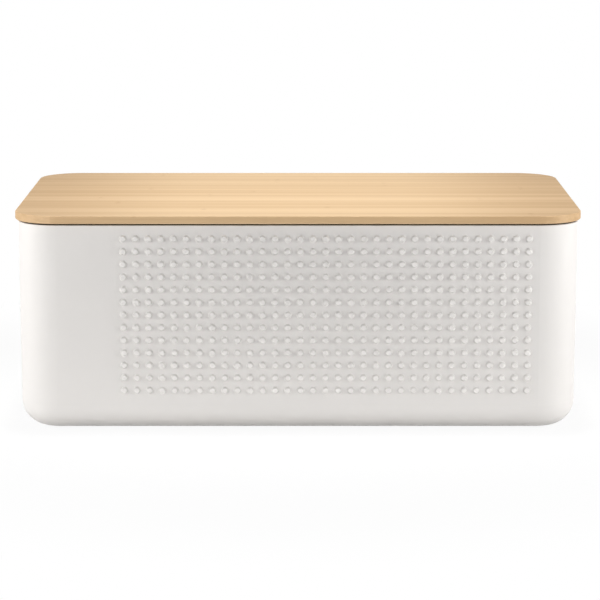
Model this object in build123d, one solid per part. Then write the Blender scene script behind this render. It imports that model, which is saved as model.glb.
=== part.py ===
from build123d import *
import os
from math import radians, tan

# A lift-off bread box: a moulded tub with a studded front, standing on four soft feet, under a glued
# bamboo board that drops into the tub's mouth and rests on a soft ring.
# Millimetres and degrees. X runs along the length, the front faces -Y, and Z is up from the worktop.

# Lid board
LID_LENGTH = 390.0
LID_DEPTH = 228.0
LID_CORNER_R = 30.0
LID_EDGE_T = 5.4
LID_TOP_ROUND = 0.6
LID_UNDER_CHAMFER = 0.5
LID_OVERHANG = 2.0
STRIP_COUNT = 12

# Thick middle of the lid, which drops into the tub's mouth
PLUG_DEPTH = 6.0
PLUG_CLEARANCE = 1.2
PLUG_CHAMFER = 1.0

# Soft ring between the lid's edge and the rim
SEAL_T = 1.4
SEAL_INSET = 1.0        # tub's outside to the ring's outside
SEAL_CLEARANCE = 0.1

# Moulded tub
SHELL_HEIGHT = 143.4
WALL_T = 3.0
FLOOR_T = 3.2
DRAFT_DEG = 0.2
BASE_ROUND = 18.0
RIM_ROUND = 0.5

# Tapered studs moulded on the front wall, in rows and columns
STUD_PITCH_X = 8.64
STUD_PITCH_Z = 8.78
STUD_BASE_D = 5.2
STUD_TOP_D = 2.9
STUD_HEIGHT = 1.6
STUD_DROP = 9.1         # rim to the centres of the top row
STUD_FOOT_MARGIN = 8.0  # least distance from the bottom row's centres to the base rounding
STUD_PLAIN_BAND = 45.7  # left corner rounding to the first column's centres, left smooth
STUD_SIDE_MARGIN = 5.0  # least distance from the last column's centres to the right corner rounding

# Feet pressed into round pockets in the floor
FOOT_D = 14.0
FOOT_PROUD = 1.0
FOOT_EDGE_ROUND = 0.4
POCKET_DEPTH = 1.2
POCKET_CLEARANCE = 0.15
FOOT_INSET = 33.0       # tub's side at its base to a foot's centre

# Heights and sizes that follow from the driving dimensions
SHELL_LENGTH = LID_LENGTH - 2 * LID_OVERHANG
SHELL_DEPTH = LID_DEPTH - 2 * LID_OVERHANG
SHELL_CORNER_R = LID_CORNER_R - LID_OVERHANG
SHELL_BASE_Z = FOOT_PROUD
RIM_Z = SHELL_BASE_Z + SHELL_HEIGHT
LID_UNDER_Z = RIM_Z + SEAL_T
LID_TOP_Z = LID_UNDER_Z + LID_EDGE_T
PLUG_INSET = WALL_T + PLUG_CLEARANCE
SEAL_BORE_INSET = PLUG_INSET - SEAL_CLEARANCE
BASE_DRAW_IN = SHELL_HEIGHT * tan(radians(DRAFT_DEG))


def rim_outline(inset):
    """The tub's rounded outline at its rim, drawn in by inset."""
    return RectangleRounded(
        SHELL_LENGTH - 2 * inset, SHELL_DEPTH - 2 * inset, SHELL_CORNER_R - inset
    )


def drafted_block(inset, depth, base_round):
    """A solid that hangs from the rim's plane, narrows by the draft and is rounded round its base."""
    block = extrude(Pos(Z=RIM_Z) * rim_outline(inset), depth, dir=(0, 0, -1), taper=DRAFT_DEG)
    return fillet(block.edges().group_by(Axis.Z)[0], base_round)


def evenly(span, pitch):
    """Distances along span, a pitch apart, from its start."""
    return [i * pitch for i in range(int(span / pitch) + 1)]


def front_wall_y(z):
    """Where the drafted front wall stands at height z."""
    return -SHELL_DEPTH / 2 + (RIM_Z - z) * tan(radians(DRAFT_DEG))


def make_studs():
    """Low tapered studs, square to the drafted front wall and rooted half-way into it."""
    root = WALL_T / 2
    flare = (STUD_BASE_D - STUD_TOP_D) / 2 / STUD_HEIGHT
    stud = Rot(X=90 + DRAFT_DEG) * Pos(Z=-root) * Cone(
        STUD_BASE_D / 2 + flare * root,
        STUD_TOP_D / 2,
        root + STUD_HEIGHT,
        align=(Align.CENTER, Align.CENTER, Align.MIN),
    )
    flat_half = SHELL_LENGTH / 2 - SHELL_CORNER_R
    first_x = -flat_half + STUD_PLAIN_BAND
    top_z = RIM_Z - STUD_DROP
    columns = evenly(flat_half - STUD_SIDE_MARGIN - first_x, STUD_PITCH_X)
    rows = evenly(SHELL_HEIGHT - BASE_ROUND - STUD_DROP - STUD_FOOT_MARGIN, STUD_PITCH_Z)
    return [
        Pos(first_x + across, front_wall_y(top_z - down), top_z - down) * stud
        for down in rows
        for across in columns
    ]


def foot_places():
    """Names and centres of the feet, near the corners of the floor."""
    x = SHELL_LENGTH / 2 - BASE_DRAW_IN - FOOT_INSET
    y = SHELL_DEPTH / 2 - BASE_DRAW_IN - FOOT_INSET
    return {
        "foot_front_left": (-x, -y),
        "foot_front_right": (x, -y),
        "foot_back_left": (-x, y),
        "foot_back_right": (x, y),
    }


def make_shell():
    """The tub: one wall thickness all round, rounded rim, foot pockets below and studs in front."""
    tub = drafted_block(0, SHELL_HEIGHT, BASE_ROUND)
    tub -= drafted_block(WALL_T, SHELL_HEIGHT - FLOOR_T, BASE_ROUND - WALL_T)
    tub = fillet(tub.edges().group_by(Axis.Z)[-1], RIM_ROUND)
    pocket = Cylinder(
        FOOT_D / 2 + POCKET_CLEARANCE, POCKET_DEPTH, align=(Align.CENTER, Align.CENTER, Align.MIN)
    )
    tub -= [Pos(x, y, SHELL_BASE_Z) * pocket for x, y in foot_places().values()]
    return tub + make_studs()


def make_foot(x, y):
    """A soft disc, rounded where it stands, whose top fills a pocket's depth."""
    foot = Pos(x, y) * Cylinder(
        FOOT_D / 2, FOOT_PROUD + POCKET_DEPTH, align=(Align.CENTER, Align.CENTER, Align.MIN)
    )
    return fillet(foot.edges().group_by(Axis.Z)[0], FOOT_EDGE_ROUND)


def make_lid_blank():
    """The whole glued board: a thin edge all round and a thick middle below it."""
    edge = extrude(
        Pos(Z=LID_UNDER_Z) * RectangleRounded(LID_LENGTH, LID_DEPTH, LID_CORNER_R), LID_EDGE_T
    )
    edge = fillet(edge.edges().group_by(Axis.Z)[-1], LID_TOP_ROUND)
    edge = chamfer(edge.edges().group_by(Axis.Z)[0], LID_UNDER_CHAMFER)
    plug = extrude(Pos(Z=LID_UNDER_Z) * rim_outline(PLUG_INSET), PLUG_DEPTH, dir=(0, 0, -1))
    plug = chamfer(plug.edges().group_by(Axis.Z)[0], PLUG_CHAMFER)
    return edge + plug


def make_lid_strips():
    """The board's strips, which run along its length, from the front to the back."""
    blank = make_lid_blank()
    width = LID_DEPTH / STRIP_COUNT
    height = PLUG_DEPTH + LID_EDGE_T
    strip_space = Pos(Z=LID_TOP_Z - height / 2) * Box(LID_LENGTH, width, height)
    strips = {}
    for i in range(STRIP_COUNT):
        middle = -LID_DEPTH / 2 + (i + 0.5) * width
        strips[f"lid_strip_{i + 1:02d}"] = blank & Pos(Y=middle) * strip_space
    return strips


def make_seal():
    """A flat soft ring round the thick middle, between the lid's edge and the rim."""
    ring = rim_outline(SEAL_INSET) - rim_outline(SEAL_BORE_INSET)
    return extrude(Pos(Z=RIM_Z) * ring, SEAL_T)


def main():
    nodes = {"box_shell": make_shell(), "lid_seal": make_seal()}
    nodes.update(make_lid_strips())
    for name, (x, y) in foot_places().items():
        nodes[name] = make_foot(x, y)
    os.makedirs("parts", exist_ok=True)
    for name, solid in nodes.items():
        export_step(solid, f"parts/{name}.step")


main()
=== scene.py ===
from math import radians

import bmesh
import bpy
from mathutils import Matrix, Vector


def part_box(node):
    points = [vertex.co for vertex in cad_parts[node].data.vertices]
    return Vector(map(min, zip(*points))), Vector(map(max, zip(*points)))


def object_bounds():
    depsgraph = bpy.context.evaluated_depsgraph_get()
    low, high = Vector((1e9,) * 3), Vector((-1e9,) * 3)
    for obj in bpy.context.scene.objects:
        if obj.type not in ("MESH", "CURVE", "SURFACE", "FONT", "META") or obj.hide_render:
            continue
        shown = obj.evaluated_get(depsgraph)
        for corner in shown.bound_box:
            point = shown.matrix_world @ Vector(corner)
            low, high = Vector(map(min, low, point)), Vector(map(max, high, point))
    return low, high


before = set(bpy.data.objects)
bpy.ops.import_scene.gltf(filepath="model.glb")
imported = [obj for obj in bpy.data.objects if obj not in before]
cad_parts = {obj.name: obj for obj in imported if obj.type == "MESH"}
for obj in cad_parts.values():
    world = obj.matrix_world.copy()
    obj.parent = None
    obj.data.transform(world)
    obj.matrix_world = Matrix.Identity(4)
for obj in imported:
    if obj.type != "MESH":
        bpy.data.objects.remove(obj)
cad_low, cad_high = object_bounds()

# The bread box, in metres
STRIPS = [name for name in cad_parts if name.startswith("lid_strip")]
FEET = [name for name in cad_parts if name.startswith("foot")]
strip_low, strip_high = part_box("lid_strip_02")
STRIP_WIDTH = strip_high.y - strip_low.y
LID_FRONT = cad_low.y
LID_CORNER = 0.03
shell_low, shell_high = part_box("box_shell")
STUD_TOPS = shell_low.y
RIM = shell_high.z
STUD_HEIGHT = 0.0016
WALL_LEAN = 0.0035  # what the front wall draws in for each metre below the rim

# Camera, at the photograph's place and angle
CAMERA_PLACE = (0.0014, -1.791, 0.3985)
CAMERA_PITCH = 10.31
CAMERA_LENS = 149.9
CAMERA_SENSOR = 36.0

# Colours, linear
PLASTIC_PALE = (0.84, 0.815, 0.79, 1)
PLASTIC_DEEP = (0.81, 0.785, 0.76, 1)
# Painted highlight on the studs' tops and painted shade on their flanks
STUD_TOP_PAINTED_LIGHT = (0.895, 0.87, 0.845, 1)
STUD_FLANK_PAINTED_SHADE = (0.74, 0.715, 0.69, 1)
BAMBOO_PALE = (0.87, 0.635, 0.39, 1)
BAMBOO_DEEP = (0.73, 0.505, 0.285, 1)
# Painted shade towards the lid's ends
END_PAINTED_SHADE_PALE = (0.68, 0.46, 0.262, 1)
END_PAINTED_SHADE_DEEP = (0.555, 0.36, 0.19, 1)
BAMBOO_NODE = (0.42, 0.235, 0.11, 1)
BAMBOO_END = (0.46, 0.295, 0.15, 1)
# The seal is near-black: painted shade for the gap under the lid
SEAL_PAINTED_SHADE_PALE = (0.06, 0.05, 0.038, 1)
SEAL_PAINTED_SHADE_DEEP = (0.045, 0.038, 0.03, 1)
FOOT_PALE = (0.46, 0.46, 0.45, 1)
FOOT_DEEP = (0.40, 0.40, 0.39, 1)
WHITE = (1, 1, 1, 1)
FLOOR_PAINT = (0.88, 0.88, 0.88, 1)


class Wire:
    """An output of a node. Arithmetic on wires and numbers adds Math nodes."""

    def __init__(self, finish, socket):
        self.finish = finish
        self.socket = socket

    def maths(self, operation, *values):
        return self.finish.node("ShaderNodeMath", {"operation": operation}, dict(enumerate(values)))

    def __add__(self, other):
        return self.maths("ADD", self, other)

    def __radd__(self, other):
        return self.maths("ADD", other, self)

    def __sub__(self, other):
        return self.maths("SUBTRACT", self, other)

    def __rsub__(self, other):
        return self.maths("SUBTRACT", other, self)

    def __mul__(self, other):
        return self.maths("MULTIPLY", self, other)

    def __rmul__(self, other):
        return self.maths("MULTIPLY", other, self)

    def __truediv__(self, other):
        return self.maths("DIVIDE", self, other)

    def absolute(self):
        return self.maths("ABSOLUTE", self)

    def at_least(self, other):
        return self.maths("MAXIMUM", self, other)

    def floor(self):
        return self.maths("FLOOR", self)


class Finish:
    """The nodes of one material, or of the world, and the ways to add to them."""

    def __init__(self, owner):
        owner.use_nodes = True
        self.owner = owner
        self.tree = owner.node_tree
        self.tree.nodes.clear()

    def node(self, kind, settings=None, inputs=None, output=0):
        """Adds a node, sets its settings and then its sockets, and gives one of its outputs."""
        made = self.tree.nodes.new(kind)
        for name, value in (settings or {}).items():
            setattr(made, name, value)
        for name, value in (inputs or {}).items():
            if isinstance(value, Wire):
                self.tree.links.new(value.socket, made.inputs[name])
            else:
                made.inputs[name].default_value = value
        return Wire(self, made.outputs[output]) if made.outputs else None

    def place(self):
        """Where a point lies in the box's own frame, in metres."""
        return self.node("ShaderNodeTexCoord", output="Object")

    def axes(self, place):
        """The X, Y and Z of a place, each by itself."""
        split = self.node("ShaderNodeSeparateXYZ", {}, {0: place})
        return [Wire(self, output) for output in split.socket.node.outputs]

    def noise(self, place, scale=1.0, detail=2.0, roughness=0.5):
        """Soft noise from 0 to 1, about 0.5 on average."""
        sockets = {"Vector": place, "Scale": scale, "Detail": detail, "Roughness": roughness}
        return self.node("ShaderNodeTexNoise", {}, sockets)

    def grain(self, place, length, width, detail=2.0, roughness=0.5):
        """Noise drawn out along X, in lines about this long and wide in metres."""
        scale = (1 / length, 1 / width, 1 / width)
        stretched = self.node("ShaderNodeMapping", {}, {"Vector": place, "Scale": scale})
        return self.noise(stretched, 1.0, detail, roughness)

    def fade(self, value, low, high, to_low=0.0, to_high=1.0):
        """A smooth step of value from to_low at low to to_high at high."""
        sockets = {"Value": value, "From Min": low, "From Max": high, "To Min": to_low, "To Max": to_high}
        return self.node("ShaderNodeMapRange", {"interpolation_type": "SMOOTHSTEP"}, sockets)

    def blend(self, share, first, second):
        """A colour between first and second."""
        sockets = {"Factor": share, "A": first, "B": second}
        return self.node("ShaderNodeMix", {"data_type": "RGBA"}, sockets, "Result")

    def bump(self, height, strength, distance):
        """A normal that follows height, whose full range is distance metres."""
        sockets = {"Height": height, "Strength": strength, "Distance": distance}
        return self.node("ShaderNodeBump", {}, sockets)

    def surface(self, **sockets):
        """The shader itself, with its sockets named with underscores for spaces."""
        named = {name.replace("_", " "): value for name, value in sockets.items()}
        shader = self.node("ShaderNodeBsdfPrincipled", {}, named)
        self.node("ShaderNodeOutputMaterial", {}, {"Surface": shader})
        return self.owner


def new_finish(name):
    return Finish(bpy.data.materials.new(name))


# Moulded plastic of the tub

PLASTIC_GRAIN = 0.0007
CLOUDS_PER_METRE = 7.0
# Where the painted highlight on the studs' tops gives way to painted shade on their flanks, and that to the
# wall at their feet
STUD_PAINTED_LIGHT_FADE = (0.02, 0.2)    # shares of a stud's height, down from its top
STUD_PAINTED_SHADE_FADE = (0.75, 0.98)


def moulded_plastic():
    """Off-white plastic with the fine dull grain of an etched mould, with a painted highlight on the studs'
    tops and painted shade on their flanks."""
    finish = new_finish("moulded_plastic")
    place = finish.place()
    cloud = finish.noise(place, CLOUDS_PER_METRE)
    grain = finish.noise(place, 1 / PLASTIC_GRAIN, 2.0, 0.6)
    y, z = finish.axes(place)[1:]
    sunk = (y - STUD_TOPS - WALL_LEAN * (RIM - z)) / STUD_HEIGHT
    wall = finish.blend(cloud, PLASTIC_PALE, PLASTIC_DEEP)
    # Painted highlight on each stud's top and painted shade down its flank, fading into the wall at its
    # foot
    stud_painted_light_and_shade = finish.blend(finish.fade(sunk, *STUD_PAINTED_LIGHT_FADE), STUD_TOP_PAINTED_LIGHT, STUD_FLANK_PAINTED_SHADE)
    return finish.surface(
        Base_Color=finish.blend(finish.fade(sunk, *STUD_PAINTED_SHADE_FADE), stud_painted_light_and_shade, wall),
        Roughness=0.5 + 0.12 * grain,
        Specular_IOR_Level=0.25,
        Normal=finish.bump(grain, 0.12, 0.00006),
    )


# Bamboo of the lid's board: lengths and widths of its markings in metres

STREAK_LENGTH = 0.6
STREAK_WIDTH = 0.007
FIBRE_LENGTH = 0.7
FIBRE_WIDTH = 0.0017
HAIR_LENGTH = 0.2
HAIR_WIDTH = 0.0006
DRIFT_LENGTH = 1 / 3
DRIFT_WIDTH = 1 / 40
NODE_SPACING = 0.27
NODE_REACH = 0.0035
NODE_UNEVENNESS = 0.003
NODE_PATCH_LENGTH = 1 / 60
NODE_PATCH_WIDTH = 1 / 260
NODE_SHARE = 0.24
GLUE_LINE = 0.0004
# Where along the lid the painted shade towards its ends begins and is full, and how strong it is
END_PAINTED_SHADE_FROM = 0.07
END_PAINTED_SHADE_TO = 0.18
END_PAINTED_SHADE_SHARE = 0.6
END_SHARE = 0.4


def node_marks(finish, along, chance, own_place):
    """Up to 1 on the short marks of the cane's joints, which lie elsewhere on each strip."""
    step = along / NODE_SPACING + chance * 5.0
    from_node = (step - step.floor() - 0.5) * NODE_SPACING
    patches = finish.grain(own_place, NODE_PATCH_LENGTH, NODE_PATCH_WIDTH)
    distance = from_node.absolute() + NODE_UNEVENNESS * (patches - 0.5)
    return finish.fade(distance, NODE_REACH, 0.0) * finish.fade(patches, 0.5, 0.62)


def glue_lines(finish, inside):
    """1 where two strips meet, from how far across its strip a point lies."""
    off_edge = 0.5 - (inside - 0.5).absolute()
    return finish.fade(off_edge * STRIP_WIDTH, GLUE_LINE, 0.0)


def end_grain(finish, along, across):
    """1 on the lid's end faces, less and less round its corners, and 0 elsewhere."""
    past_x = (along.absolute() - (cad_high.x - LID_CORNER)).at_least(0.0) / LID_CORNER
    past_y = (across.absolute() - (cad_high.y - LID_CORNER)).at_least(0.0) / LID_CORNER
    return past_x * finish.fade(past_x * past_x + past_y * past_y, 0.955, 0.99)


def bamboo_board():
    """Pale bamboo: strips of their own tone, straight fibres along X, short dark nodes, fine glue lines,
    painted shade towards the ends, and dark end grain."""
    finish = new_finish("bamboo")
    place = finish.place()
    along, across = finish.axes(place)[:2]
    count = (across - LID_FRONT) / STRIP_WIDTH
    strip = count.floor()
    chance = finish.node("ShaderNodeTexWhiteNoise", {"noise_dimensions": "1D"}, {"W": strip})
    strip_shift = finish.node("ShaderNodeCombineXYZ", {}, {"X": chance * 7.0, "Z": chance * 0.37})
    own_place = finish.node("ShaderNodeVectorMath", {"operation": "ADD"}, {0: place, 1: strip_shift})

    streaks = finish.fade(finish.grain(own_place, STREAK_LENGTH, STREAK_WIDTH, 2.0, 0.6), 0.4, 0.7)
    fibres = finish.grain(own_place, FIBRE_LENGTH, FIBRE_WIDTH, 3.0, 0.55)
    hairs = finish.grain(own_place, HAIR_LENGTH, HAIR_WIDTH, 2.0, 0.6)
    drift = finish.grain(own_place, DRIFT_LENGTH, DRIFT_WIDTH, 1.0)
    glue = glue_lines(finish, count - strip)

    tone = 0.32 * chance + 0.42 * streaks + 0.2 * (drift - 0.4)
    depth = tone + 0.75 * (fibres - 0.5) + 0.45 * (hairs - 0.5) + 0.35 * glue
    shade = finish.fade(depth, -0.1, 0.75)
    middle = finish.blend(shade, BAMBOO_PALE, BAMBOO_DEEP)
    ends_painted_shade = finish.blend(shade, END_PAINTED_SHADE_PALE, END_PAINTED_SHADE_DEEP)
    # Painted shade towards the lid's ends
    toward_ends = finish.fade(along.absolute(), END_PAINTED_SHADE_FROM, END_PAINTED_SHADE_TO)
    wood = finish.blend(END_PAINTED_SHADE_SHARE * toward_ends, middle, ends_painted_shade)
    wood = finish.blend(END_SHARE * end_grain(finish, along, across), wood, BAMBOO_END)
    marks = node_marks(finish, along, chance, own_place)
    return finish.surface(
        Base_Color=finish.blend(NODE_SHARE * marks, wood, BAMBOO_NODE),
        Roughness=0.56 + 0.16 * hairs,
        Specular_IOR_Level=0.15,
        Normal=finish.bump(hairs + 0.6 * fibres - 0.5 * glue, 0.2, 0.00008),
    )


# Silicone of the ring and the feet

BLOOMS_PER_METRE = 90.0
PORES_PER_METRE = 2200.0


def silicone(name, pale, deep):
    """Dull soft rubber with a slightly uneven bloom."""
    finish = new_finish(name)
    place = finish.place()
    bloom = finish.noise(place, BLOOMS_PER_METRE, 3.0)
    pores = finish.noise(place, PORES_PER_METRE, 1.0)
    return finish.surface(
        Base_Color=finish.blend(bloom, pale, deep),
        Roughness=0.62 + 0.14 * bloom,
        Specular_IOR_Level=0.3,
        Normal=finish.bump(pores, 0.15, 0.00005),
    )


def dress(names, material):
    """Gives CAD nodes one material."""
    for name in names:
        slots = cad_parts[name].data.materials
        slots.clear()
        slots.append(material)


# Floor, light and camera: metres, watts and degrees

FLOOR_HALF = 14.0
FLOOR_WHITENESS = 0.92
SHADOW_REACH = 0.25
WHITE_FROM = 0.45
AMBIENT = 0.05
FRONT_PLACE = (0.50, -0.42, 0.30)
FRONT_SIZE = (0.25, 0.25)
FRONT_POWER = 1.54
SIDE_PLACE = (0.62, -0.18, 0.20)
SIDE_SIZE = (0.30, 0.30)
SIDE_POWER = 0.92
BACK_PLACE = (0, 1.0, 0.07)
BACK_SIZE = (1.2, 0.12)
BACK_POWER = 5.0
TOP_PLACE = (0, 0, 2.4)
TOP_CONE = 20
TOP_SOFTNESS = 0.15
TOP_POWER = 175.0


def seen_directly(finish):
    """1 for what the camera sees, also in a reflection or through glass, and 0 for light that falls on
    things."""
    rays = finish.node("ShaderNodeLightPath", output="Is Camera Ray")
    outputs = rays.socket.node.outputs
    seen = rays.at_least(Wire(finish, outputs["Is Glossy Ray"]))
    return seen.at_least(Wire(finish, outputs["Is Transmission Ray"]))


def floor_paint():
    """White to the camera, with a share of real paint near the box that takes its shadow."""
    finish = new_finish("floor_paint")
    white = finish.node("ShaderNodeEmission", {}, {"Color": WHITE, "Strength": 1.0})
    paint = finish.node("ShaderNodeBsdfDiffuse", {}, {"Color": FLOOR_PAINT})
    reach = finish.node("ShaderNodeVectorMath", {"operation": "LENGTH"}, {0: finish.place()}, "Value")
    whiteness = finish.fade(reach, SHADOW_REACH, WHITE_FROM, FLOOR_WHITENESS, 1.0)
    share = whiteness * seen_directly(finish)
    mixed = finish.node("ShaderNodeMixShader", {}, {0: share, 1: paint, 2: white})
    finish.node("ShaderNodeOutputMaterial", {}, {"Surface": mixed})
    return finish.owner


def make_floor():
    shape = bmesh.new()
    bmesh.ops.create_grid(shape, x_segments=1, y_segments=1, size=FLOOR_HALF)
    mesh = bpy.data.meshes.new("floor")
    shape.to_mesh(mesh)
    shape.free()
    mesh.materials.append(floor_paint())
    floor = bpy.data.objects.new("floor", mesh)
    bpy.context.scene.collection.objects.link(floor)


def make_world():
    """White to the camera, and a weak even light on everything else."""
    world = bpy.data.worlds.new("studio")
    bpy.context.scene.world = world
    finish = Finish(world)
    strength = AMBIENT + (1 - AMBIENT) * seen_directly(finish)
    sky = finish.node("ShaderNodeBackground", {}, {"Color": WHITE, "Strength": strength})
    finish.node("ShaderNodeOutputWorld", {}, {"Surface": sky})


def hang_lamp(lamp, place, turn):
    hung = bpy.data.objects.new(lamp.name, lamp)
    hung.location = place
    hung.rotation_euler = turn
    hung.visible_camera = False
    bpy.context.scene.collection.objects.link(hung)


def make_softbox(name, place, turn, size, power):
    """A rectangular lamp of even light, which shines down until it is turned."""
    lamp = bpy.data.lights.new(name, "AREA")
    lamp.shape = "RECTANGLE"
    lamp.size, lamp.size_y = size
    lamp.energy = power
    hang_lamp(lamp, place, turn)


def make_softboxes():
    """A softbox at each front corner, aimed inwards, a weaker one on each side and one low behind."""
    quarter = radians(90)
    for side, word in ((-1, "left"), (1, "right")):
        x, y, z = FRONT_PLACE
        inwards = (quarter, 0, side * quarter / 2)
        make_softbox(f"front_{word}_light", (side * x, y, z), inwards, FRONT_SIZE, FRONT_POWER)
        x, y, z = SIDE_PLACE
        make_softbox(f"{word}_light", (side * x, y, z), (0, side * quarter, 0), SIDE_SIZE, SIDE_POWER)
    make_softbox("back_light", BACK_PLACE, (-quarter, 0, 0), BACK_SIZE, BACK_POWER)


def make_top_light():
    """A soft pool of light on the middle of the lid."""
    lamp = bpy.data.lights.new("top_light", "SPOT")
    lamp.energy = TOP_POWER
    lamp.spot_size = radians(TOP_CONE)
    lamp.spot_blend = 1.0
    lamp.shadow_soft_size = TOP_SOFTNESS
    hang_lamp(lamp, TOP_PLACE, (0, 0, 0))


def make_camera():
    lens = bpy.data.cameras.new("camera")
    lens.lens = CAMERA_LENS
    lens.sensor_width = CAMERA_SENSOR
    camera = bpy.data.objects.new("camera", lens)
    camera.location = CAMERA_PLACE
    camera.rotation_euler = (radians(90 - CAMERA_PITCH), 0, 0)
    bpy.context.scene.collection.objects.link(camera)
    bpy.context.scene.camera = camera


dress(["box_shell"], moulded_plastic())
dress(STRIPS, bamboo_board())
# The seal's near-black colour is painted shade for the gap under the lid
dress(["lid_seal"], silicone("seal_silicone", SEAL_PAINTED_SHADE_PALE, SEAL_PAINTED_SHADE_DEEP))
dress(FEET, silicone("foot_silicone", FOOT_PALE, FOOT_DEEP))

make_floor()
make_world()
make_softboxes()
make_top_light()
make_camera()
bpy.context.scene.view_settings.view_transform = "Standard"
